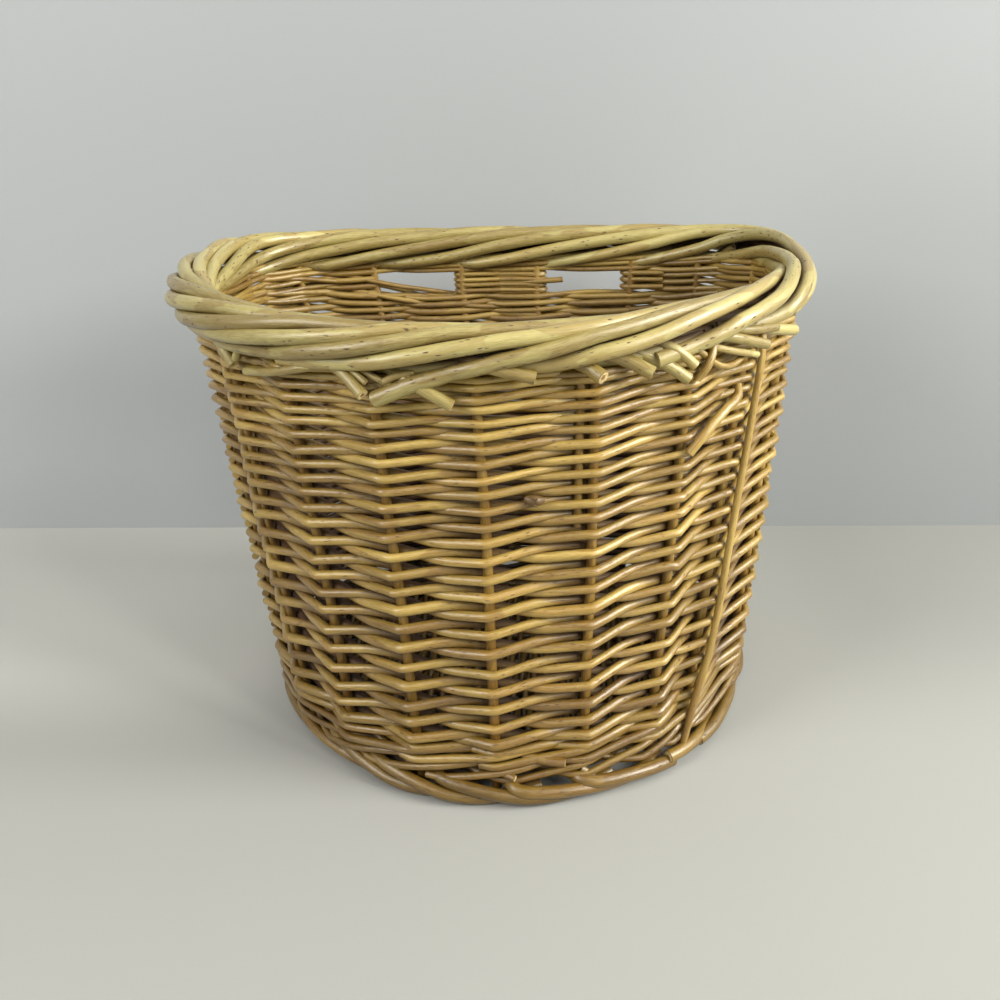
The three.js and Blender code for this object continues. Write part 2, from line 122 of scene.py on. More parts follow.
turn_angles = np.linspace(0.5 * np.pi, 2.5 * np.pi, 3601)
middle_line = plan(turn_angles, *wall_sizes(WALL_TOP / 2))
arcs = np.concatenate([[0], np.cumsum(np.linalg.norm(np.diff(middle_line, axis=0), axis=1))])
GIRTH = arcs[-1]
left_slot = 85.5 * MM
right_slot = GIRTH - 69.5 * MM
round_step = (right_slot - left_slot - 2 * BESIDE_SLOT) / 14
stake_arcs = [left_slot] + [left_slot + BESIDE_SLOT + round_step * i for i in range(15)]
stake_arcs += [right_slot, right_slot + SLOT_WIDTH, right_slot + SLOT_WIDTH + BRIDGE_WIDTH]
stake_arcs = np.array(stake_arcs)
print("girth", round(GIRTH, 4), "m, stakes", len(stake_arcs), "about", round(round_step / MM, 1), "mm apart")

# %% [markdown]
# ## Places on the wall and on the rope
# A hand-made basket is never quite level. The rim dips a little to the right and stands higher at its
# two ends than in the middle, and some of the stakes lean. The helpers below carry that, so every rod
# laid with them bends along.
# %% Wall and rope helpers
def angle_at(station):
    turns = np.floor(station / STAKES)
    all_arcs = np.append(stake_arcs, stake_arcs[0] + GIRTH)
    arc = np.interp(station - turns * STAKES, np.arange(STAKES + 1), all_arcs)
    over = np.floor(arc / GIRTH)
    return np.interp(arc - over * GIRTH, arcs, turn_angles) + 2 * np.pi * (turns + over)


LEANS = [(0, 0.05), (1, 0.1), (2, 0), (8, 0), (9, 0.1), (10, 0.1), (11, -0.1), (12, 0), (14, -0.1),
         (15, -0.2), (16, -0.28), (17, -0.11), (18, -0.07), (19, 0.05)]


def lean(station):
    """How far the stakes stand from their even places, in stations."""
    return station + np.interp(station % STAKES, *zip(*LEANS))


LOW_LEANS = [(0, -0.06), (8, -0.06), (9, -0.08), (10, -0.16), (11, -0.38), (12, -0.28), (13, -0.1),
             (19, -0.06)]


def low_lean(station, height):
    """How much further they stand to the left at the foot, most of all the ones at the right."""
    return np.interp(station % STAKES, *zip(*LOW_LEANS)) * (1 - height / WALL_TOP)


def hump(station, middle, width):
    """A smooth hump of height 1 round the station middle."""
    return np.exp(-((station % STAKES - middle) / width) ** 2)


def wall_dent(station, height):
    """The left side of the wall is flatter than drawn, and the right side draws in at the foot."""
    left = -2.6 * hump(station, 4.3, 1.7)
    right = -2.5 * hump(station, 11.9, 1.5) * np.clip(1 - height / (115 * MM), 0, 1)
    return (left + right) * MM


def unevenness(angle, x, y):
    """How far the rim stands above its even height."""
    return (-3.5 * x / RIM_HALF + 1.1 * y / (130 * MM) + 2.3 * np.cos(2 * angle)) * MM


def outward_of(angle, half, front, back):
    """Directions square to an outline, away from the basket."""
    step = plan(angle + 0.01, half, front, back) - plan(angle - 0.01, half, front, back)
    step /= np.linalg.norm(step, axis=-1, keepdims=True)
    return np.stack([step[..., 1], -step[..., 0]], -1)


def wall_curve(station, height, out):
    angle = angle_at(lean(station) + low_lean(station, height))
    k = height / WALL_TOP
    half = BASE_HALF + (RIM_HALF - BASE_HALF) * k
    outward = outward_of(angle, half, BASE_FRONT + 5 * MM * k, BASE_BACK + 9 * MM * k)
    return plan(angle, *wall_sizes(height)), outward * (out + wall_dent(station, height))[..., None]


def same_length(*values):
    return np.broadcast_arrays(*(np.asarray(v, float) for v in values))


def wall(station, height, out, taut=True):
    """Points beside the wall. A taut rod runs straight from stake to stake, not along the curve."""
    station, height, out = same_length(station, height, out)
    place, outward = wall_curve(station, height, out)
    if taut:
        first = np.floor(station)
        share = (station - first)[..., None]
        place = wall_curve(first, height, out)[0] * (1 - share)
        place = place + wall_curve(first + 1, height, out)[0] * share
    place = place + outward
    climb = np.clip(height / WALL_TOP, 0, 1) ** 1.5
    z = height + unevenness(angle_at(station), place[..., 0], place[..., 1]) * climb
    return np.stack([place[..., 0], place[..., 1] + PLAN_SHIFT, z], -1)


def along_wall(steps, taut=True):
    """Points beside the wall from steps of (station, height in mm, distance outward in mm)."""
    station, height, out = np.array(steps, float).T
    return wall(station, height * MM, out * MM, taut)


ROPE_SIZES = (RIM_HALF - MM, RIM_FRONT - MM, RIM_BACK - MM)


def rope(station, out, up):
    """Points beside the middle line of the rope border."""
    station, out, up = same_length(station, out, up)
    angle = angle_at(station)
    place = plan(angle, *ROPE_SIZES)
    z = ROPE_HEIGHT + up + unevenness(angle, place[..., 0], place[..., 1])
    place = place + outward_of(angle, *ROPE_SIZES) * out[..., None]
    return np.stack([place[..., 0], place[..., 1] + PLAN_SHIFT, z], -1)


print("front middle of the rope:", rope(FRONT_STAKE, 0, 0).round(4))

# %% [markdown]
# ## Laying rods
# Every rod is a round curve, thick at its butt and thin at its tip. A smooth line is drawn through a
# few bends and turned into a mesh. Its UV map counts metres along the rod and turns around it, so that
# the grain of the finish follows every bend, and each rod carries a random tone of its own.
# %% Rod helper
chance = np.random.default_rng(7)


def smooth_line(points, step):
    """A smooth line through points, with a new point about every step metres."""
    lengths = np.linalg.norm(np.diff(points[:, :3], axis=0), axis=1)
    knots = np.concatenate([[0], np.cumsum(np.sqrt(lengths))])
    slopes = np.gradient(points, knots, axis=0)
    line = []
    for i, length in enumerate(lengths):
        count = max(1, int(round(length / step)))
        t = np.linspace(0, 1, count, endpoint=False)[:, None]
        h = knots[i + 1] - knots[i]
        a, b, p, q = points[i], points[i + 1], slopes[i] * h, slopes[i + 1] * h
        line.append((2 * t**3 - 3 * t**2 + 1) * a + (t**3 - 2 * t**2 + t) * p
                    + (3 * t**2 - 2 * t**3) * b + (t**3 - t**2) * q)
    line.append(points[-1:])
    return np.concatenate(line)


def deselect():
    for each in bpy.context.selected_objects:
        each.select_set(False)


def outside_of(points, half, front, back):
    """How far points lie outside an outline of the plan."""
    x, y = points[:, 0], points[:, 1] - PLAN_SHIFT
    power = np.where(y < 0, FRONT_POWER, BACK_POWER)
    depth = np.where(y < 0, front, back)
    ratio = ((np.abs(x) / half) ** power + (np.abs(y) / depth) ** power) ** (1 / power)
    return (1 - 1 / ratio) * np.hypot(x, y)


KNOT_PLACE = wall(8.46, 195 * MM, 6 * MM)
KNOT_STAIN, KNOT_REACH = 0.55, 6.5 * MM


def wall_shade_and_knot_stain(points):
    """Painted shade: 0 outside the wall and 1 inside, least near the rim. The bark round the knot in the
    front carries a real stain of about half that strength."""
    out = outside_of(points, *wall_sizes(points[:, 2]))
    deep = np.interp(points[:, 2], np.array([0, 150, 200, 235, 262]) * MM, [1, 1, 0.8, 0.4, 0.15])
    from_knot = np.linalg.norm((points - KNOT_PLACE) * (0.6, 1, 1), axis=1)
    stain = KNOT_STAIN * np.exp(-(from_knot / KNOT_REACH) ** 4)
    return np.maximum(np.clip((0.5 * MM - out) / (4.5 * MM), 0, 1) * deep, stain)


def rope_painted_shade(points):
    """Painted shade: 0 on the skin of the rope border, 1 deep between its rods."""
    x, y = points[:, 0], points[:, 1] - PLAN_SHIFT
    out = outside_of(points, *ROPE_SIZES)
    up = points[:, 2] - ROPE_HEIGHT - unevenness(np.arctan2(y, x), x, y)
    return np.clip((9.8 * MM - np.hypot(out, up)) / (4 * MM), 0, 1)


def lay_rods(name, rods, step=4 * MM, roundness=3, pith=None, shade_and_stain=wall_shade_and_knot_stain):
    """One mesh from many rods. A rod is (points, radii, tone), with one radius for each point."""
    deselect()
    bpy.ops.curve.primitive_nurbs_path_add(location=(0, 0, 0))
    piece = bpy.context.object
    piece.name = name
    curve = piece.data
    curve.splines.clear()
    lines, tones = [], []
    for points, radii, tone in rods:
        radii = np.broadcast_to(np.asarray(radii, float), (len(points),))
        line = smooth_line(np.column_stack([points, radii]), step)
        spline = curve.splines.new("POLY")
        spline.points.add(len(line) - 1)
        spline.points.foreach_set("co", np.column_stack([line[:, :3], np.ones(len(line))]).ravel())
        spline.points.foreach_set("radius", line[:, 3].copy())
        lines.append(line[:, :3])
        tones.append(tone)
    curve.bevel_depth = 1
    curve.bevel_resolution = roundness
    curve.use_fill_caps = True
    bpy.ops.object.convert(target="MESH")
    sides = 4 + 2 * roundness
    write_rod_map(piece, lines, tones, sides, shade_and_stain)
    bpy.ops.object.mode_set(mode="EDIT")
    bpy.ops.mesh.select_all(action="SELECT")
    bpy.ops.mesh.remove_doubles(threshold=1e-6)
    bpy.ops.object.mode_set(mode="OBJECT")
    if pith:
        finish_ends(piece, 2 * len(lines) * (sides - 2), pith)
    bpy.ops.object.shade_smooth_by_angle(angle=math.radians(50))
    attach(piece, "root")
    print(name, len(rods), "rods,", len(piece.data.polygons), "faces")
    return piece


GRAIN_SHIFT = 0.37


def read(items, key, kind=float, width=1):
    values = np.zeros(len(items) * width, kind)
    items.foreach_get(key, values)
    return values.reshape(-1, width) if width > 1 else values


def write_rod_map(piece, lines, tones, sides, shade_and_stain):
    """UV: metres along the rod and turns around it. The end caps come first in the mesh, the last
    rod's first. Each rod's grain starts a little further on than that of the rod before."""
    mesh = piece.data
    starts = GRAIN_SHIFT * np.arange(len(lines))
    along = [np.repeat(starts[::-1], 2 * sides)]
    for line, start in zip(lines, starts):
        length = np.concatenate([[0], np.cumsum(np.linalg.norm(np.diff(line, axis=0), axis=1))])
        along.append(np.repeat(length, sides) + start)
    tone = np.concatenate([np.repeat(tones[::-1], 2 * sides), np.repeat(tones, list(map(len, along[1:])))])
    uv = read(mesh.uv_layers[0].data, "uv", width=2)
    uv[:, 0] = np.concatenate(along)[read(mesh.loops, "vertex_index", int)]
    mesh.uv_layers[0].data.foreach_set("uv", uv.ravel())
    places = read(mesh.vertices, "co", width=3)
    # rod_hollow holds painted shade, and the real stain round the knot.
    for title, values in (("rod_tone", tone), ("rod_hollow", shade_and_stain(places))):
        mesh.attributes.new(title, "FLOAT", "POINT").data.foreach_set("value", values)


def finish_ends(piece, cap_faces, pith):
    """Cut ends: a ring of skin, pale wood and a darker pith, inset from the flat cap."""
    mesh = piece.data
    mesh.polygons.foreach_set("select", np.arange(len(mesh.polygons)) < cap_faces)
    bpy.context.tool_settings.mesh_select_mode = (False, False, True)
    for slot, thickness, depth in ((1, 0.45 * MM, 0.3 * MM), (2, pith, -0.35 * MM)):
        bpy.ops.object.mode_set(mode="EDIT")
        bpy.ops.mesh.inset(thickness=thickness, depth=depth, use_even_offset=True)
        bpy.ops.object.mode_set(mode="OBJECT")
        slots = read(mesh.polygons, "material_index", int)
        slots[read(mesh.polygons, "select", bool)] = slot
        mesh.polygons.foreach_set("material_index", slots)

# %% [markdown]
# ## Side stakes
# The stakes are the warp of the basket. Each one stands between two neighbours and is straight, and
# all the weaving bends round it. At the top it leans over and becomes part of the rim. The back stakes
# stand a little inward near the top, so they show inside the basket. One front stake has a second,
# thinner rod pushed in beside it, down to about two thirds of the height.
# %% Side stakes
def stake_radius(height):
    return (3 - 0.5 * np.clip(height / WALL_TOP, 0, 1)) * MM


stakes = []
heights = np.array([6, 40, 90, 140, 190, 235, 264]) * MM
for k in range(STAKES):
    sway = chance.normal(0, 0.5 * MM, len(heights))
    at_back = k < 3 or k > 13
    inward = np.interp(heights, [150 * MM, 200 * MM], [0, 3.2 * MM]) * at_back
    points = wall(k + sway / SPACING, heights, -inward)
    stakes.append((points, stake_radius(heights), chance.random()))
heights = np.array([176, 200, 230, 264]) * MM
stakes.append((wall(8.87, heights, -0.3 * MM), 2.2 * MM, 0.3))
side_stakes = lay_rods("side_stakes", stakes, step=9 * MM)
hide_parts(*[f"side_stake_{i:02d}" for i in range(1, STAKES + 1)])

# %% [markdown]
# ## Pairing
# The wall is woven in pairing. Two weavers travel together. At each stake one passes outside and the
# other inside, and between two stakes they twist half a turn round each other: the outer one climbs
# over and goes in. The pair climbs slowly round the basket like a screw. The rows are wide apart and
# the rods thick at the foot, and both become finer toward the rim.
# %% Pairing helper
ROW_HEIGHTS = [27, 34, 41.5, 52.5, 64.5, 77.5, 90.5, 104, 117, 128.5, 139.5, 150.5, 161.5, 172, 181.5,
               190.2, 198.8, 207.2, 215.5, 223.3, 230.4, 237, 243.6, 249.8, 255.2]


def row_height(turns):
    """Height of the pair after so many turns, counted at the middle of the front."""
    return np.interp(turns, np.arange(len(ROW_HEIGHTS)) - 2, ROW_HEIGHTS) * MM


def turns_at(station):
    return (station - FRONT_STAKE) / STAKES


def row_pitch(turns):
    return row_height(turns + 0.5) - row_height(turns - 0.5)


def weaver_radius(turns):
    return np.interp(turns, [-2, 0, 5, 9, 12, 16, 22], [2.5, 2.8, 2.8, 2.6, 2.45, 2.25, 2]) * MM


TWIST = [(0, 0.99, 0), (0.04, 0.94, 0.06), (0.26, 0.5, 0.58), (0.46, 0.08, 0.98), (0.58, -0.17, 0.93),
         (0.76, -0.54, 0.5), (0.96, -0.94, 0.04)]


def pair_points(first, last, outside, height, pitch, radius):
    """One weaver of a pair. height, pitch and radius are functions of the station."""
    points, radii = [], []
    for k in range(first, last + 1):
        sign = 1 if (k % 2 == 0) == outside else -1
        for share, out, rise in TWIST if k < last else TWIST[:1]:
            s = k + share
            r = radius(s)
            reach = stake_radius(height(s)) + r
            lift = min(pitch(s) / 4, r)
            nest = math.sqrt(r * r - lift * lift) * math.sin(math.pi * share)
            points.append((s, height(s) + sign * rise * lift, sign * (out * reach + nest)))
            radii.append(r)
    return wall(*np.array(points).T), np.array(radii)


# %% [markdown]
# A weaver is as long as the rod it is made of, a turn and a half. Where one ends, on the inside, the
# next begins beside it. Here each rod gets its own thickness, its own taper and its own small waves.
# %% Screw of weavers
def rough(points, amount):
    """Small slow waves along a rod, as grown wood has."""
    n = len(points)
    points_per_wave = 5
    waves = chance.normal(0, amount, (n // points_per_wave + 3, 3))
    index = np.linspace(0, len(waves) - 1, n)
    low = np.floor(index).astype(int).clip(0, len(waves) - 2)
    mix = (index - low)[:, None]
    mix = mix * mix * (3 - 2 * mix)
    return points + waves[low] * (1 - mix) + waves[low + 1] * mix


DIP, DIP_FROM = 0.2, 190 * MM


def back_dip(s):
    """1 at the strap slots, 0 at the front: the upper rows dive below the slots."""
    return np.interp(s % STAKES, [0, 2.4, 11.5, 15.5, 18.6, 19], [0.9, 0, 0, 1, 1, 0.9])


def screw_height(s):
    height = row_height(turns_at(s))
    return height - DIP * back_dip(s) * max(height - DIP_FROM, 0)


def screw_pitch(s):
    pitch = row_pitch(turns_at(s))
    return pitch * (1 - DIP * back_dip(s)) if row_height(turns_at(s)) > DIP_FROM else pitch


def weave_pair(first, last, height, pitch, radius, run):
    """Both weavers of a pair, each cut into rods about run stakes long."""
    rods = []
    for outside in (True, False):
        start = first
        while start < last:
            stop = min(last, start + int(chance.integers(run - 4, run + 5)))
            if stop < last and ((stop % 2 == 0) == outside):
                stop += 1
            if last - stop < 6:
                stop = last
            points, radii = pair_points(start, stop, outside, height, pitch, radius)
            taper = np.linspace(1.07, 0.92, len(radii)) * chance.normal(1, 0.05)
            points = rough(points, 0.42 * MM)
            lumps = rough(np.ones((len(radii), 3)), 0.035)[:, 0]
            rods.append((points, radii * taper * lumps, chance.random()))
            start = stop
    return rods


def screw_radius(s):
    return weaver_radius(turns_at(s)) * np.interp(s % STAKES, [8.5, 9.8, 12, 14], [1, 0.93, 0.93, 1])


print("the screw climbs from", screw_height(-26).round(4), "to", screw_height(431).round(4))

# %% [markdown]
# The sides and the back are woven more closely than the front, so a packing pair runs there between
# the turns of the screw. Three stray rods stand off the wall at the right, and a weaver in the middle
# of the front has a knot with torn fibres. The wall is laid as four pieces, from the foot to the rim.
# %% Lay the pairing
def packing_height(s):
    return (screw_height(s) + screw_height(s + STAKES)) / 2


def packing_radius(s):
    thin_start = np.interp(s % STAKES, [0, 12, 13.4], [1, 0.5, 1])
    return np.clip(screw_pitch(s) / 2 - screw_radius(s), 1.2 * MM, 3 * MM) * thin_start


STRAY_TONE, KNOT_TONE = 0.6, -2
stray_courses = [
    (2.5, (9.97, 209, 8.5), (10.12, 216, 9.5), (10.32, 222, 9.5), (10.55, 227, 8.5), (10.81, 230, 6),
     (10.91, 235, 1)),
    (2.1, (9.98, 248, 7.5), (10.07, 254, 9.6), (10.17, 260, 8), (10.25, 266, 4)),
    (1.7, (10, 262, 5), (10.3, 252, 9), (10.55, 250, 8.5), (10.8, 252, 6)),
]
stray_rods = [(along_wall(steps), radius * MM, STRAY_TONE) for radius, *steps in stray_courses]
knot_steps = [(8.38, 195.6, 3.4), (8.42, 195.2, 4.6), (8.46, 194.9, 5.2), (8.5, 194.6, 4.6),
              (8.54, 194.3, 3.2)]
knot_rods = [(along_wall(knot_steps), np.array([1.6, 2.6, 3, 2.5, 1.5]) * MM, KNOT_TONE)]
for rise in (-1.2, 0.4, 1.6):
    fibre = [(8.43, 195 + rise, 5.5), (8.46, 195 + 1.2 * rise, 7.8), (8.48, 195 + 1.5 * rise, 8.4)]
    knot_rods.append((along_wall(fibre), 0.55 * MM, KNOT_TONE))
extras = {3: knot_rods, 4: stray_rods}

PACKED_FROM, PACKED_TO = 12, 23
BREAKS = (-26, 111, 206, 301, 431)
for part, (first, last) in enumerate(zip(BREAKS, BREAKS[1:]), 1):
    rods = weave_pair(first, last, screw_height, screw_pitch, screw_radius, 27)
    for turn in range(-STAKES, 14 * STAKES, STAKES):
        if first <= PACKED_FROM + turn < last:
            rods += weave_pair(PACKED_FROM + turn, PACKED_TO + turn, packing_height, screw_pitch,
                               packing_radius, 40)
    weaving = lay_rods(f"pairing_{part}", rods + extras.get(part, []), step=5 * MM)
    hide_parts(f"wall_weaver_{part + 1:02d}")

# %% [markdown]
# ## Rows at the strap slots
# The top rows stop at the slots: each weaver goes half round the slot's edge stake and back, and three
# rods dive under the left slot. A short woven bridge stands between the slots, with a broken stub.
# Above them one fine pair runs all round under the rim, and two more close the back.
# %% Slot rows
def wrap(station, height, radius, toward, from_outside):
    """A weaver's half turn round an edge stake, then a little way back."""
    reach = stake_radius(height) + radius
    side_out = 1 if from_outside else -1
    points = []
    for degrees in (30, 60, 90, 120, 150, 180):
        a = math.radians(degrees)
        points.append((station + toward * reach / SPACING * math.sin(a), height + 0.2 * radius * degrees / 90,
                       side_out * math.cos(a) * reach))
    for back, rise, share in ((0.25, 0.5, 0.9), (0.5, 0.4, 0.5)):
        points.append((station - toward * back, height + rise * radius, -side_out * reach * share))
    return wall(*np.array(points).T)


def slot_level(first, last, height, radius, pitch, ends=(True, True)):
    """A level pair between two stakes, which turns back round them where ends says so."""
    rods = []
    for outside in (True, False):
        points, _ = pair_points(first, last, outside, lambda s: height, lambda s: pitch, lambda s: radius)
        if ends[1]:
            points = np.concatenate([points, wrap(last, height, radius, 1, (last % 2 == 0) == outside)])
        if ends[0]:
            begin = wrap(first, height, radius, -1, (first % 2 == 0) == outside)[::-1]
            points = np.concatenate([begin, points])
        rods.append((rough(points, 0.15 * MM), radius * chance.normal(1, 0.04), chance.random()))
    return rods


slot_rods = []
for height in (245.4, 250.2, 255):
    slot_rods += slot_level(12, 16, height * MM, 1.65 * MM, 4.2 * MM, ends=(False, True))
    slot_rods += slot_level(19, 23, (height - 1) * MM, 1.8 * MM, 4.4 * MM, ends=(False, False))
dive = np.array([(20.5, 262, 0), (20, 260.5, 5.5), (19.52, 257.5, 2), (19, 252, -5.5), (18.74, 248.5, -4.5),
                 (18.4, 244, 0.5), (18, 239, 5), (17.5, 236.5, 0), (17, 236, -4.5)])
for low, sign in ((0, 1), (4.6, -1), (9.5, 1)):
    points = along_wall((dive - (0, low, 0)) * (1, 1, sign))
    slot_rods.append((rough(points, 0.3 * MM), 1.7 * MM, chance.random()))
slot_rows = lay_rods("slot_rows", slot_rods)
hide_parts("slot_row_weaver")

bridge_rods = []
for height in (243.6, 247.4, 251.2, 255):
    bridge_rods += slot_level(17, 18, height * MM, 1.6 * MM, 3.8 * MM)
broken = [(17.5, 250, -1), (17.2, 250, -3), (17, 250.5, -4.6), (16.84, 251, -4.4), (16.72, 251.4, -3.6)]
bridge_rods.append((along_wall(broken), 1.9 * MM, 0.5))
slot_bridge = lay_rods("slot_bridge", bridge_rods, step=3 * MM)
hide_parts("slot_bridge_weaver")

top_rods = []
for first, last, height in ((0, STAKES, 258.9), (10, 24, 262.4), (10, 24, 265.9)):
    top_rods += weave_pair(first, last, lambda s: height * MM, lambda s: 3.6 * MM, lambda s: 1.75 * MM, 30)
top_row = lay_rods("top_row", top_rods)
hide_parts("top_weaver")

# %% [markdown]
# ## Waling at the foot
# The first rounds are waled, which locks the stakes: three weavers, each in front of two stakes and
# behind one. Every one starts a stake after the last, so the outside shows long overlapping strokes.
# Three cut ends stick out at the front.
# %% Waling
FOOT_STAKES = [5.62, 6.42, 7.3, 8.22, 8.98, 9.8, 10.5, 11.3, 12.2, 13.1, 14, 14.9, 15.8, 16.7, 17.6, 18.5,
               19.4, 20.3, 21.2, 22.1, 22.95, 23.8]


# At a post a weaver passes low and outside, at the next one outside again, and then inside. Each step
# is a share of the gap to the next post, of the rise and of the spread.
WALE_STEPS = [
    [(-0.2, 0.02, 0.8), (-0.03, 0, 1), (0.03, 0.03, 1), (0.5, 0.5, 0.98)],
    [(0, 1, 0.92), (0.4, 1.25, 0.5)],
    [(0, 0.9, -0.6), (0.3, 0.5, -0.3), (0.55, 0.15, 0.3)],
]


def wale_rods(posts, height, rise, radius, spread):
    """Three weavers round the posts, in millimetres."""
    rods = []
    turns = np.array(posts + [post + STAKES for post in posts[:7]])
    for phase in range(3):
        points = []
        for k in range(phase, phase + len(posts) + 2):
            gap = turns[k + 1] - turns[k]
            for ahead, up, out in WALE_STEPS[(k - phase) % 3]:
                points.append((turns[k] + ahead * gap, height + up * rise, out * spread))
        taper = np.linspace(1.12, 0.88, len(points))
        rods.append((rough(along_wall(points), 0.3 * MM), taper * radius * MM, chance.random()))
    return rods


low_wale = wale_rods(FOOT_STAKES, 14.5, 8, 2, 6.6)
high_wale = wale_rods(list(range(6, 25)), 25, 7, 2.3, 5.6)
wale_end_courses = [(2.7, (8.3, 29, 2), (8.55, 27.5, 7), (8.74, 27, 9.5)),
                    (2.6, (8.95, 17, 4), (9.08, 12, 8), (9.2, 8, 12)),
                    (2.2, (8, 21, 3), (8.12, 19.5, 7), (8.2, 19, 9.5))]
wale_ends = [(along_wall(steps), radius * MM, 0.2) for radius, *steps in wale_end_courses]
waling = lay_rods("foot_waling", low_wale + high_wale + wale_ends, pith=0.9 * MM)
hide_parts("wall_weaver_01")

# %% [markdown]
# ## Rope border
# At the rim each stake is bent over and laid along, so that the rods wind round each other like the
# strands of a rope. A rod starts low on the outside, climbs over the top in about two stakes, sinks on
# the inside, and at last comes out below as a short cut end. The rods are tight at the left and loosen
# to nearly parallel loops at the right end, so the nine front ones are given one by one. The others all
# follow one even course.
# %% Rope border
ROPE_REACH = 8.4


def rope_rod(steps, butt=4.1, tip=3.2):
    """A rod from (station, degrees round the rope, reach in mm) steps, tucked in below at its end."""
    steps = [step if len(step) == 3 else (*step, ROPE_REACH) for step in steps]
    last, degrees, _ = steps[-1]
    tuck = last + (272 - degrees) / 46
    steps = steps + [(tuck, 272, 8.6), (tuck + 0.5, 292, 6.2)]
    fine = np.linspace(0, len(steps) - 1, 4 * (len(steps) - 1) + 1)
    s, degrees, reach = (np.interp(fine, np.arange(len(steps)), column) for column in zip(*steps))
    a = np.radians(degrees)
    bulge = 3.6 * hump(s, 2.3, 0.9) - 3 * hump(s, 12.9, 1.1)
    reach = reach + bulge * np.clip(np.cos(a - 0.15), 0, 1)
    points = rope(s, reach * MM * np.cos(a), reach * MM * np.sin(a))
    return points, np.linspace(butt, tip, len(points)) * MM


rim_courses = [
    [(3.95, -62), (5.07, 0), (5.84, 46), (6.4, 88), (7, 112), (7.7, 128), (8.4, 168), (9.1, 205),
     (9.8, 235, 10)],
    [(4.5, -66), (5.1, -42), (5.87, -3), (6.45, 27), (6.93, 51), (7.36, 84), (8.2, 130), (9.6, 205)],
    [(5.2, -74, 10), (5.95, -62), (6.43, -24), (6.95, 9), (7.39, 42), (7.81, 75), (8.4, 96), (9.2, 118),
     (10.6, 205)],
    [(6.1, -74, 10.5), (6.85, -62), (7.39, -14), (7.81, 14), (8.23, 36), (8.64, 50), (9.08, 64), (9.45, 86),
     (10.1, 120), (11.4, 205)],
    [(7.1, -75, 24), (7.4, -72, 17.5), (7.8, -64, 10.5), (8.22, -24), (8.63, 4), (9.07, 33), (9.44, 54),
     (10.17, 100), (10.8, 128), (12.2, 205)],
    [(7.6, -108, 7), (8.2, -92, 7.5), (8.66, -66), (9.06, -21), (9.41, -3), (9.8, 21), (10.27, 51),
     (10.76, 81), (11.39, 119), (12.2, 160), (13.11, 205), (13.8, 238, 8.4), (14.3, 255, 10)],
    [(9.62, -72, 12.5), (10.05, -60, 9.5), (10.46, -8), (11.08, 27), (11.58, 69), (12.23, 117), (12.9, 146),
     (13.7, 183), (14.19, 216, 9.4), (14.62, 240, 10.5), (15, 258, 13)],
    [(10.4, -95, 7), (10.9, -76, 8), (11.35, -46, 9), (11.6, -9), (12, 30), (12.6, 58), (13.42, 84),
     (14.15, 130), (14.51, 160), (14.79, 190, 9.4), (15.3, 225, 11), (15.7, 250, 13)],
    [(11.5, -62, 10), (12.1, -15), (12.6, 14), (13.34, 48), (13.88, 72), (14.33, 92), (14.9, 130, 9),
     (15.4, 170, 10), (16, 205, 11), (16.6, 240, 12.5), (16.9, 256, 14)],
]
rim_rods = []
for steps in rim_courses:
    points, radii = rope_rod(steps)
    rim_rods.append((rough(points, 0.25 * MM), radii, chance.random()))
EVEN_COURSE = [(-1.18, -66, 9.4), (-0.6, -33, 8.6), (0, 0, 8.4), (0.5, 29, 8.4), (1, 58, 8.4),
               (1.55, 88, 8.6), (2.2, 119, 9.2), (2.9, 150, 10.2), (3.6, 181, 11.2), (4.2, 210, 12.3),
               (4.7, 234, 12.6)]
for k in (*range(13, 21), 21.05, 22.1, 23.1):
    steps = [(k + s, degrees, reach + chance.normal(0, 0.25)) for s, degrees, reach in EVEN_COURSE]
    points, radii = rope_rod(steps, butt=4.3, tip=3.5)
    rim_rods.append((rough(points, 0.3 * MM), radii, chance.random()))
rim_border = lay_rods("rim_border", rim_rods, roundness=5, pith=2.6 * MM, shade_and_stain=rope_painted_shade)
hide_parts(*[f"rim_rod_{i:02d}" for i in range(1, 20)])

# %% [markdown]
# The tips of the rim rods come out between the stakes, right under the rope, and are cut off slanting
# down. They are laid as short rods of their own: a radius in millimetres, and then the steps.
# %% Cut tips under the rim
TIP_COURSES = [
    (2.2, (6.9, 266, 4), (6.4, 262, 10), (6.03, 257.5, 10.5), (5.58, 252.5, 10)),
    (3, (5.05, 268, 3), (5.2, 263, 9), (5.36, 253.5, 9.5)),
    (2, (5.6, 268, 4), (5.47, 262, 9), (5.42, 257, 9.5)),
    (3.1, (6.45, 268, 2), (6.8, 261, 8), (7.01, 253.5, 12.5)),
    (1.6, (6.75, 266, 4), (6.9, 263, 8), (7.03, 259, 10)),
    (1.7, (7.45, 263.5, 7), (7.3, 262.5, 10), (7.2, 260, 11)),
    (1.5, (6.95, 264, 6), (7.2, 259, 9.5), (7.34, 256, 10.5)),
    (3, (7.2, 264, 3), (7.45, 259, 9.5), (7.79, 249.5, 11.5)),
    (3.2, (7.75, 271, 2), (8.07, 268, 9), (8.46, 262, 13)),
    (3.5, (8.55, 271, 0), (8.86, 264.5, 7), (8.97, 260.5, 15)),
    (3.4, (8.9, 271, 2), (9.25, 264, 8), (9.43, 258.5, 15)),
    (3, (9.3, 268, 3), (9.6, 260, 8.5), (9.81, 251.5, 13.5)),
    (2.6, (9.5, 271, 3), (9.7, 266, 10), (9.87, 257.5, 12.5)),
    (2.6, (10.1, 268, 3), (10.43, 265, 9), (11, 256.5, 12)),
    (1.8, (9.9, 267, 5), (10.5, 257.5, 9), (10.9, 252, 10.5)),
    (2.4, (10.3, 270, 3), (10.7, 266, 9), (11.2, 262, 11)),
    (3, (10.9, 264, 2), (11.3, 259, 9), (11.62, 254, 12.5)),
]
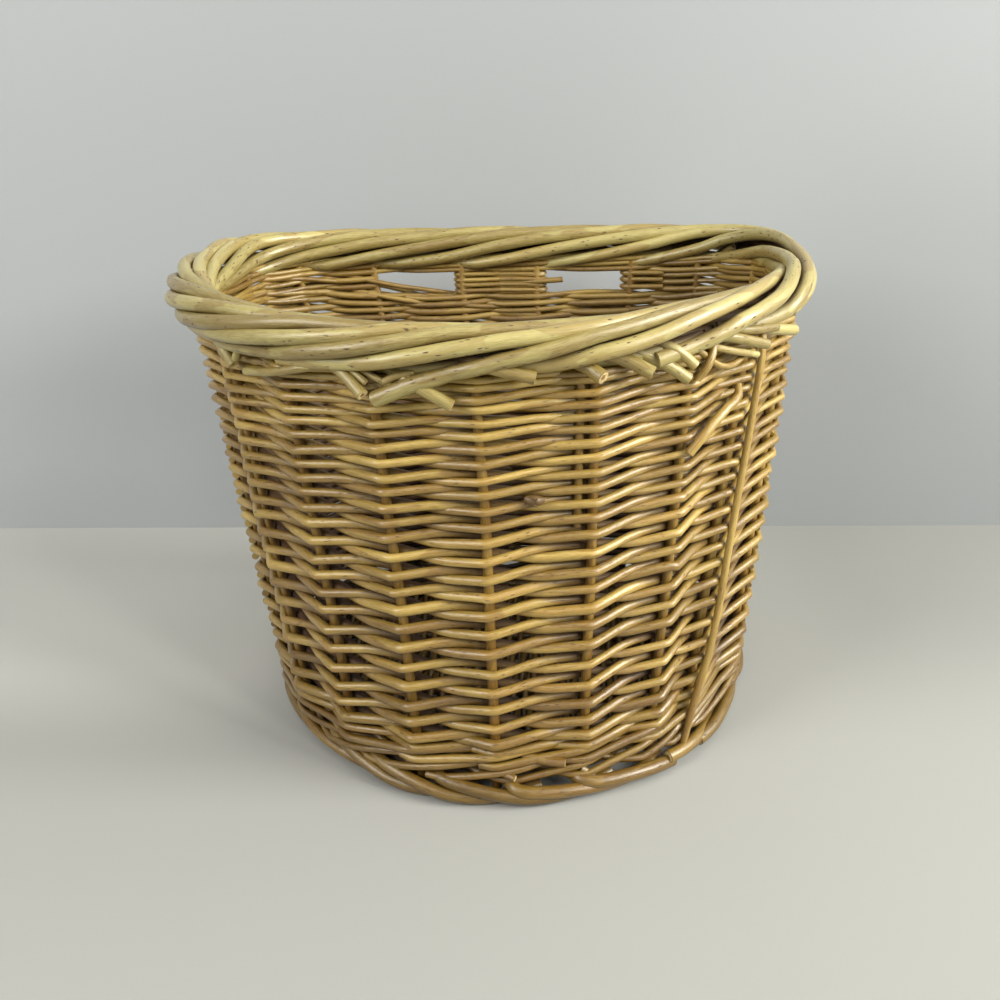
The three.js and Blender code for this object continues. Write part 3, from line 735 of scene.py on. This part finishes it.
tips = [(along_wall(steps), radius * MM, chance.random()) for radius, *steps in TIP_COURSES]
for k in (12.6, 13.6, 14.5, 15.3, 17.5, 0.6, 1.5, 2.5, 3.4):
    low = 252 + chance.normal(0, 1.5)
    steps = [(k - 0.8, 273, 4), (k - 0.4, low + 10, 8), (k, low, 10.5 + chance.normal(0, 1))]
    tips.append((along_wall(steps), chance.normal(2.9, 0.25) * MM, chance.random()))
rim_tips = lay_rods("rim_tips", tips, roundness=4, pith=1.5 * MM, shade_and_stain=rope_painted_shade)

# %% [markdown]
# ## Foot border
# The foot is the same idea turned over: thick brown rods come out from inside at each stake, bend
# sharply and run along the outside for two stakes, under the next ones. They stand on the floor. At the
# left they come round the corner gently, at the front more boldly, and three at the right end are
# blunt pieces.
# %% Foot border
FOOT_REACH = [(5, -2), (5.6, -1.2), (6.4, 0.4), (7.3, 3.6), (8.2, 4.4), (9, 3.8), (9.8, 3), (10.5, 2.5),
              (11.3, 2), (12.2, -2), (14, -3), (24, -2)]
BLUNT_COURSES = {
    8.98: [(8.84, 12, 0), (8.88, 12.2, 3), (8.93, 11.8, 7), (9.01, 11.2, 9.2), (9.14, 10.5, 10.4),
           (9.5, 9.2, 10.6), (9.9, 7.2, 10.4), (10.42, 4.6, 9.6)],
    10.5: [(10.26, 9.2, 10.2), (10.5, 8.8, 10.2), (10.8, 8.4, 9.8), (11.06, 8.2, 9), (11.3, 6.5, 6),
           (11.7, 4.5, 2)],
    11.3: [(11.1, 6.4, 9.6), (11.25, 6.6, 9.6), (11.45, 7.2, 8.8), (11.65, 7.6, 7.2), (12, 6.6, 4.5),
           (12.6, 4.6, 0)],
}
BARE_STAKE = 9.8
GENTLE = np.array([
    (-1.3, 8, -6.5), (-0.6, 10.5, -6), (-0.16, 13.2, -4.5), (-0.1, 13.2, -1), (-0.04, 12.9, 1.6),
    (0.06, 12.5, 3.2), (0.3, 11.4, 4.8), (0.6, 9.4, 6.2), (1, 6, 6.8), (1.4, 4.4, 4.8), (1.8, 4, 1.2),
    (2.1, 4, -2),
])
BOLD = np.array([
    (-1.3, 8, -6.5), (-0.6, 10, -6), (-0.14, 12, -4), (-0.1, 12.2, 0), (-0.05, 11.8, 4), (0.03, 11.2, 6.2),
    (0.16, 10.5, 7.2), (0.5, 9, 7.2), (0.9, 6.9, 6.2), (1.3, 4.9, 4.6), (1.75, 4, 1.6), (2.1, 4, -2),
])
foot_rods = [(along_wall(steps, taut=False), 4 * MM, chance.random()) for steps in BLUNT_COURSES.values()]
for k in FOOT_STAKES:
    if k in BLUNT_COURSES or k == BARE_STAKE:
        continue
    bold = np.clip((k - 7.8) / 0.3, 0, 1)
    ahead, height, out = (GENTLE * (1 - bold) + BOLD * bold).T
    s = ahead + k + chance.normal(0, 0.02)
    high = np.interp(k, [5.62, 6.42, 7.3, 8], [3, 2, 0.8, 0]) * np.clip(1 - ahead / 1.3, 0, 1)
    reach = np.interp(s, *zip(*FOOT_REACH)) * np.clip((out + 4) / 9, 0, 1)
    points = along_wall(np.column_stack([s, height + high, out + reach]), taut=False)
    radii = np.linspace(3.9, 3.5, len(points)) * MM * chance.normal(1, 0.04)
    foot_rods.append((points, radii, chance.random()))
foot_border = lay_rods("foot_border", foot_rods, step=3 * MM, roundness=4, pith=2.2 * MM)
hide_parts(*[f"foot_border_rod_{i:02d}" for i in range(1, 7)])

# %% [markdown]
# ## Slanting rod
# One rod runs outside the weave at the right, from the rim down to the foot, beside a stake.
# %% Slanting rod
slanting_steps = [
    (11.12, 264, 5), (11.09, 250, 8.2), (11.08, 224, 8.8), (11.07, 196, 9), (11.05, 167, 9.2),
    (11.04, 137, 9.4), (11.05, 104, 9.4), (11.02, 72, 9.4), (10.88, 47, 9.4), (10.74, 16, 9.2),
    (10.71, 8, 8.6),
]
slanting_rods = [(along_wall(slanting_steps), np.linspace(1.9, 2.3, len(slanting_steps)) * MM, 0.35)]
slanting = lay_rods("slanting_rod", slanting_rods, step=5 * MM, roundness=4, pith=1.2 * MM)
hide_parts("leaning_rod")

# %% [markdown]
# ## Base
# The base lies inside the foot and is hidden in the photo, so it follows the solids: a rod bent to the
# outline, five straight sticks across, and thin rods woven to and fro over and under them, which turn
# round the outer rod at each end. Here they lie side by side, so that the base is closed.
# %% Base
FRAME_ROD, STICK_ROD, FILL_ROD, EDGE_ROD, EDGE_GAP = 3.2 * MM, 2.8 * MM, 1.85 * MM, 2.5 * MM, 8.2 * MM
low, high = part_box("base_frame")
base_level = (low.z + high.z) / 2
base_half = high.x - FRAME_ROD
base_front, base_back = PLAN_SHIFT - low.y - FRAME_ROD, high.y - FRAME_ROD - PLAN_SHIFT
around = np.linspace(0, 2 * np.pi, 121)
outline = plan(around, base_half, base_front, base_back) + (0, PLAN_SHIFT)
frame_rod = (np.column_stack([outline, np.full(len(outline), base_level)]), FRAME_ROD, 0.4)
edge = plan(around, *(v + EDGE_GAP for v in (base_half, base_front, base_back))) + (0, PLAN_SHIFT)
twist = 2.6 * MM * np.cos(around * STAKES)
edge_rods = [(np.column_stack([edge, base_level + turn * twist]), EDGE_ROD, 0.5) for turn in (-1, 1)]


def even_painted_shade(share):
    """Painted shade: the base is darkened the same all over, as it lies in shadow."""
    return lambda points: np.full(len(points), share)


base_ring = lay_rods("base_ring", [frame_rod] + edge_rods, step=6 * MM, roundness=4, shade_and_stain=even_painted_shade(0.35))
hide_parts("base_frame")

sticks, rows = [], []
for i in range(1, 6):
    low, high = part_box(f"base_stick_{i:02d}")
    row = (low.y + high.y) / 2
    rows.append(row)
    line = [(x, row, base_level) for x in (low.x + 0.5 * MM, 0, high.x - 0.5 * MM)]
    sticks.append((line, STICK_ROD, chance.random()))
base_sticks = lay_rods("base_sticks", sticks, step=12 * MM, shade_and_stain=even_painted_shade(0.35))
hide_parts(*[f"base_stick_{i:02d}" for i in range(1, 6)])


# %% Base fill
def base_reach(v, half, depth, power):
    """How far the outline reaches at v."""
    return half * (1 - min(abs(v / depth), 0.999) ** power) ** (1 / power)


FILL_SPACING, FIRST_CROSSING, BEND = 3.95 * MM, 7 * MM, FRAME_ROD + FILL_ROD
fill = []
for i, x in enumerate(np.arange(-34, 35) * FILL_SPACING):
    front = PLAN_SHIFT - base_reach(x, base_front, base_half, FRONT_POWER)
    back = PLAN_SHIFT + base_reach(x, base_back, base_half, BACK_POWER)
    missed = len([y for y in rows if y <= front + FIRST_CROSSING])
    crossings = [front] + [y for y in rows if front + FIRST_CROSSING < y < back - FIRST_CROSSING] + [back]
    steps = []
    for n, y in enumerate(crossings):
        lift = FILL_ROD + (FRAME_ROD if n in (0, len(crossings) - 1) else STICK_ROD)
        steps.append((x, y, base_level + (lift if (n + i + missed) % 2 == 0 else -lift)))
    steps = [(x - 0.9 * MM, front - BEND, base_level)] + steps + [(x + 0.9 * MM, back + BEND, base_level)]
    fill.append((steps if i % 2 == 0 else steps[::-1], FILL_ROD, chance.random()))
base_fill = lay_rods("base_fill", fill, step=5 * MM, roundness=2, shade_and_stain=even_painted_shade(0.4))
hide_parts("base_weaver")

# %% [markdown]
# ## Willow
# All the rods get one finish with a few different numbers. Varnished willow is pale straw to honey
# brown, drifts slowly in colour along each rod, has a fine grain, tiny dark specks where buds sat, and
# a satin shine. Shader maths is easier to read as plain expressions, so a small class turns operators
# on sockets into Math nodes.
# %% Shader helpers
class Value:
    """A socket that can be used in arithmetic. Each operator adds a Math node."""

    def __init__(self, finish, socket):
        self.finish = finish
        self.socket = socket

    def output(self, number):
        """Another output of the same node."""
        return Value(self.finish, self.socket.node.outputs[number])

    def _math(self, operation, *values):
        return self.finish.node("ShaderNodeMath", dict(enumerate(values)), operation=operation)

    def __add__(self, other):
        return self._math("ADD", self, other)

    __radd__ = __add__

    def __sub__(self, other):
        return self._math("SUBTRACT", self, other)

    def __rsub__(self, other):
        return self._math("SUBTRACT", other, self)

    def __mul__(self, other):
        return self._math("MULTIPLY", self, other)

    __rmul__ = __mul__

    def wave(self, kind):
        return self._math(kind, self)


class Finish:
    """A material under construction."""

    def __init__(self, name):
        self.material = bpy.data.materials.new(name)
        self.material.use_nodes = True
        self.tree = self.material.node_tree
        self.shader = self.tree.nodes["Principled BSDF"]

    def node(self, kind, values={}, output=0, **settings):
        """A node of a kind: its settings by name, and values or links by socket."""
        made = self.tree.nodes.new(kind)
        for key, value in settings.items():
            setattr(made, key, value)
        for key, value in values.items():
            self.put(made.inputs[key], value)
        return Value(self, made.outputs[output])

    def put(self, socket, value):
        if isinstance(value, Value):
            self.tree.links.new(value.socket, socket)
        else:
            socket.default_value = value

    def set(self, name, value):
        self.put(self.shader.inputs[name], value)

    def object_place(self):
        return self.node("ShaderNodeTexCoord", output=3)

    def noise(self, place, scale, detail, roughness=0.5):
        values = {"Vector": place, "Scale": scale, "Detail": detail, "Roughness": roughness}
        return self.node("ShaderNodeTexNoise", values)

    def ramp(self, level, *stops):
        made = self.node("ShaderNodeValToRGB", {0: level})
        elements = made.socket.node.color_ramp.elements
        while len(elements) < len(stops):
            elements.new(0.5)
        for element, (position, colour) in zip(elements, stops):
            element.position = position
            element.color = (*colour, 1)
        return made

    def fade(self, value, start, stop, top=1):
        """0 at start, top at stop and a soft change between."""
        values = {0: value, 1: start, 2: stop, 3: 0, 4: top}
        return self.node("ShaderNodeMapRange", values, interpolation_type="SMOOTHSTEP")

    def mix(self, share, colour, other, blend="MULTIPLY"):
        """A colour multiplied by another one, or replaced by it, as far as share says."""
        values = {0: share, 6: colour, 7: (*other, 1)}
        return self.node("ShaderNodeMix", values, 2, data_type="RGBA", blend_type=blend)


def paint(hex_colour):
    """A screen colour such as b3a165 as the linear numbers that a shader takes."""
    parts = [int(hex_colour[i:i + 2], 16) / 255 for i in (0, 2, 4)]
    return tuple(v / 12.92 if v < 0.04045 else ((v + 0.055) / 1.055)**2.4 for v in parts)


print("honey brown is", tuple(round(v, 3) for v in paint("987c36")))

# %% [markdown]
# The finish works in the rod's own space: the UV map gives metres along and turns around. The turns
# are bent into a circle with sine and cosine, so no seam shows, and the rod's tone shifts everything,
# so that no two rods look the same. Painted shade makes the low rods darker and browner toward the
# foot, and so too what lies inside the wall, between the rope's rods and in the base.
# %% Willow finish
STAIN, STAIN_COLOUR = 0.6, (0.62, 0.47, 0.30)
SPECK_COLOUR, SHADE_AND_STAIN_COLOUR = "4a2c10", (0.17, 0.08, 0.012)
# Painted shade toward the foot: its strength, the height where it begins, and its colour.
LOW_SHADE, LOW_SHADE_FROM, LOW_SHADE_COLOUR = 0.8, 170 * MM, (0.5, 0.42, 0.25)


def willow(name, pale, honey, brown, shine, drift, specks):
    finish = Finish(name)
    along = finish.node("ShaderNodeSeparateXYZ", {0: finish.node("ShaderNodeUVMap", uv_map="UVMap")})
    turn_angle = along.output(1) * (2 * math.pi)
    across, over = turn_angle.wave("COSINE"), turn_angle.wave("SINE")
    tone = finish.node("ShaderNodeAttribute", output=2, attribute_name="rod_tone")
    shade_and_stain = finish.node("ShaderNodeAttribute", output=2, attribute_name="rod_hollow")
    height = finish.node("ShaderNodeSeparateXYZ", {0: finish.object_place()}, 2)
    offset = tone * 31

    def on_rod(circle, per_metre, shift):
        """A place in a pattern: on a circle round the rod, and so far along it."""
        values = {0: across * circle, 1: over * circle, 2: along * per_metre + shift}
        return finish.node("ShaderNodeCombineXYZ", values)

    fibre_place = on_rod(4, 80, offset)
    fibre = finish.noise(fibre_place, 1.8, 4, 0.7)
    patch = finish.noise(on_rod(0.35, 11, offset), 1, 2)
    group = finish.fade(finish.noise(on_rod(0.4, 30, offset * 1.7), 1, 1), 0.42, 0.5)
    cell_place = on_rod(1.8, 150, offset)
    cell = finish.node("ShaderNodeTexVoronoi", {"Vector": cell_place, "Scale": 1, "Randomness": 1})
    ragged = finish.noise(fibre_place, 4, 1) * 0.7
    speck = finish.fade(cell + ragged, 0.54, 0.42) * group

    level = (patch - 0.5) * (1.6 * drift) + (tone - 0.5) * drift + (fibre - 0.5) * 1.3 + 0.5
    colour = finish.ramp(level, (0.15, paint(brown)), (0.5, paint(honey)), (0.85, paint(pale)))
    colour = finish.mix(finish.fade(patch * group, 0.36, 0.56, STAIN), colour, STAIN_COLOUR)
    colour = finish.mix(speck * specks, colour, paint(SPECK_COLOUR), "MIX")
    # Painted shade: darker inside the wall, between the rope's rods and over the base, with the real stain
    # round the knot in the same colour.
    colour = finish.mix(shade_and_stain, colour, SHADE_AND_STAIN_COLOUR)
    # Painted shade: the rods darken toward the foot.
    colour = finish.mix(finish.fade(height, LOW_SHADE_FROM, 0, LOW_SHADE), colour, LOW_SHADE_COLOUR)
    finish.set("Base Color", colour)
    finish.set("Roughness", (fibre - 0.5) * 0.5 + (0.52 - 0.2 * shine) + speck * 0.4 + shade_and_stain * 0.4)
    finish.set("Coat Weight", ((patch - 0.4) * 0.6 + 0.4 * shine) * (1 - shade_and_stain))
    finish.set("Coat Roughness", 0.24)
    finish.set("Specular IOR Level", 0.5 + 0.35 * shine)
    finish.set("Specular Tint", (1, 0.97, 0.83, 1))
    relief = fibre * 0.6 + patch * 1.5 - speck
    bump = finish.node("ShaderNodeBump", {"Height": relief, "Strength": 0.6, "Distance": 0.6 * MM})
    finish.set("Normal", bump)
    return finish.material


def cut_wood(name, colour, dark):
    finish = Finish(name)
    grain = finish.noise(finish.object_place(), 900, 2)
    finish.set("Base Color", finish.ramp(grain, (0.35, paint(dark)), (0.65, paint(colour))))
    finish.set("Roughness", grain * 0.2 + 0.6)
    return finish.material


# %% [markdown]
# Each finish has a pale, a middle and a brown tone, its shine, how far its tone drifts and how strong
# its specks are. The rim is the greenest, the foot and the stakes are the brownest. Every piece also
# gets the two cut woods, for its rod ends.
# %% Finish the pieces
pale_cut = cut_wood("cut_willow", "c9b583", "a0854f")
pith_wood = cut_wood("willow_pith", "8a6a3c", "5c4222")
finishes = {
    "rim_border": willow("rim_willow", "b1a365", "9a8d53", "7e6b38", 0.8, 0.6, 1.3),
    "rim_tips": willow("tip_willow", "b8a968", "9e9054", "826e38", 0.6, 0.5, 0.7),
    "side_stakes": willow("stake_willow", "ac8c48", "927434", "705420", 0.6, 0.5, 0.7),
    # The slanting rod's tones are paler than the other rods': painted light on its side that lies in half
    # shade.
    "slanting_rod": willow("slanting_willow", "d2b468", "ba9c50", "96783a", 0.8, 0.4, 0.6),
    "foot_border": willow("foot_willow", "a48840", "846a2c", "624a1a", 0.7, 0.5, 0.7),
}
weaver_finish = willow("weaver_willow", "bb9e50", "987c36", "785a20", 0.9, 0.42, 0.9)
for piece in bpy.data.objects:
    if piece.type == "MESH" and "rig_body" in piece and piece.name not in frame["nodes"]:
        for material in (finishes.get(piece.name, weaver_finish), pale_cut, pith_wood):
            piece.data.materials.append(material)
print("finishes:", sorted(m.name for m in bpy.data.materials if "willow" in m.name))

# %% [markdown]
# ## Floor, wall and light
# A pale floor and a wall close behind, as in a small photo corner. One large lamp stands high at the
# right front, so the right-hand rods shine and the shadow falls softly to the left. A tall narrow one
# puts the shine on the strokes right of the middle, and two weak ones fill in. Both paints carry
# painted light and shade: a lighter patch at the left, over the basket's shadow, and a darker one at
# the right, in place of light thrown back by a room.
# %% Stage
def flat_paint(name, colour, second_axis, patches):
    """Matt paint with patches of painted light and shade: (x from, x to, start and stop on the second axis,
    brightness).
    """
    finish = Finish(name)
    place = finish.object_place()
    plain = paint(colour)
    tint = finish.ramp(finish.noise(place, 3, 2), (0.3, tuple(0.97 * v for v in plain)), (0.7, plain))
    x = finish.node("ShaderNodeSeparateXYZ", {0: place})
    for x_from, x_to, start, stop, bright in patches:
        share = finish.fade(x, x_from, x_to) * finish.fade(x.output(second_axis), start, stop)
        tint = finish.mix(share, tint, (bright, bright, bright))
    finish.set("Base Color", tint)
    finish.set("Roughness", 0.8)
    behind = finish.node("ShaderNodeNewGeometry", output=6)
    clear = finish.node("ShaderNodeBsdfTransparent")
    front = Value(finish, finish.shader.outputs[0])
    seen = finish.node("ShaderNodeMixShader", {0: behind, 1: front, 2: clear})
    finish.put(finish.tree.nodes["Material Output"].inputs["Surface"], seen)
    return finish.material


def stage_plane(name, place, tilt, material):
    deselect()
    bpy.ops.mesh.primitive_plane_add(size=1, location=place, rotation=(math.radians(tilt), 0, 0))
    plane = bpy.context.object
    plane.name = name
    plane.scale = (8, 3, 1)
    bpy.ops.object.transform_apply(location=True, rotation=True, scale=True)
    plane.data.materials.append(material)
    return plane


floor_painted_light = ((-0.1, -0.2, -0.1, 0, 1.5), (0.15, 0.28, -0.1, 0.1, 0.84))
wall_painted_light = ((0.12, 0.3, 0.4, 0.2, 0.86), (-0.15, -0.35, 0.16, 0.06, 1.15))
floor = stage_plane("floor", (0, -1.28, 0), 0, flat_paint("floor_paint", "989892", 1, floor_painted_light))
backdrop = stage_plane("backdrop", (0, 0.22, 1.5), 90, flat_paint("wall_paint", "a1a4a4", 2, wall_painted_light))

scene = bpy.context.scene
scene.view_settings.view_transform = "Standard"
world = bpy.data.worlds.new("soft_room")
world.use_nodes = True
background = world.node_tree.nodes["Background"]
background.inputs["Color"].default_value = (0.97, 0.98, 1, 1)
background.inputs["Strength"].default_value = 0.41
scene.world = world


def area_lamp(name, place, target, size, power, colour):
    data = bpy.data.lights.new(name, "AREA")
    data.shape = "RECTANGLE"
    data.size, data.size_y = size
    data.energy = power
    data.color = colour
    lamp = bpy.data.objects.new(name, data)
    lamp.location = place
    lamp.rotation_euler = (Vector(target) - Vector(place)).to_track_quat("-Z", "Y").to_euler()
    scene.collection.objects.link(lamp)


area_lamp("window", (1.85, -0.5, 1.25), (0, 0, 0.15), (1, 1), 78, (1, 0.99, 0.95))
area_lamp("tall_window", (1.34, -1.16, 0.99), (0.05, -0.1, 0.15), (0.18, 0.5), 10, (1, 0.99, 0.95))
area_lamp("left_window", (-0.95, -0.8, 1), (0, 0, 0.15), (0.6, 0.6), 14, (1, 0.98, 0.95))
area_lamp("sky", (0.1, -0.9, 1.8), (0, 0, 0.1), (1.2, 1.2), 5, (0.99, 0.99, 1))
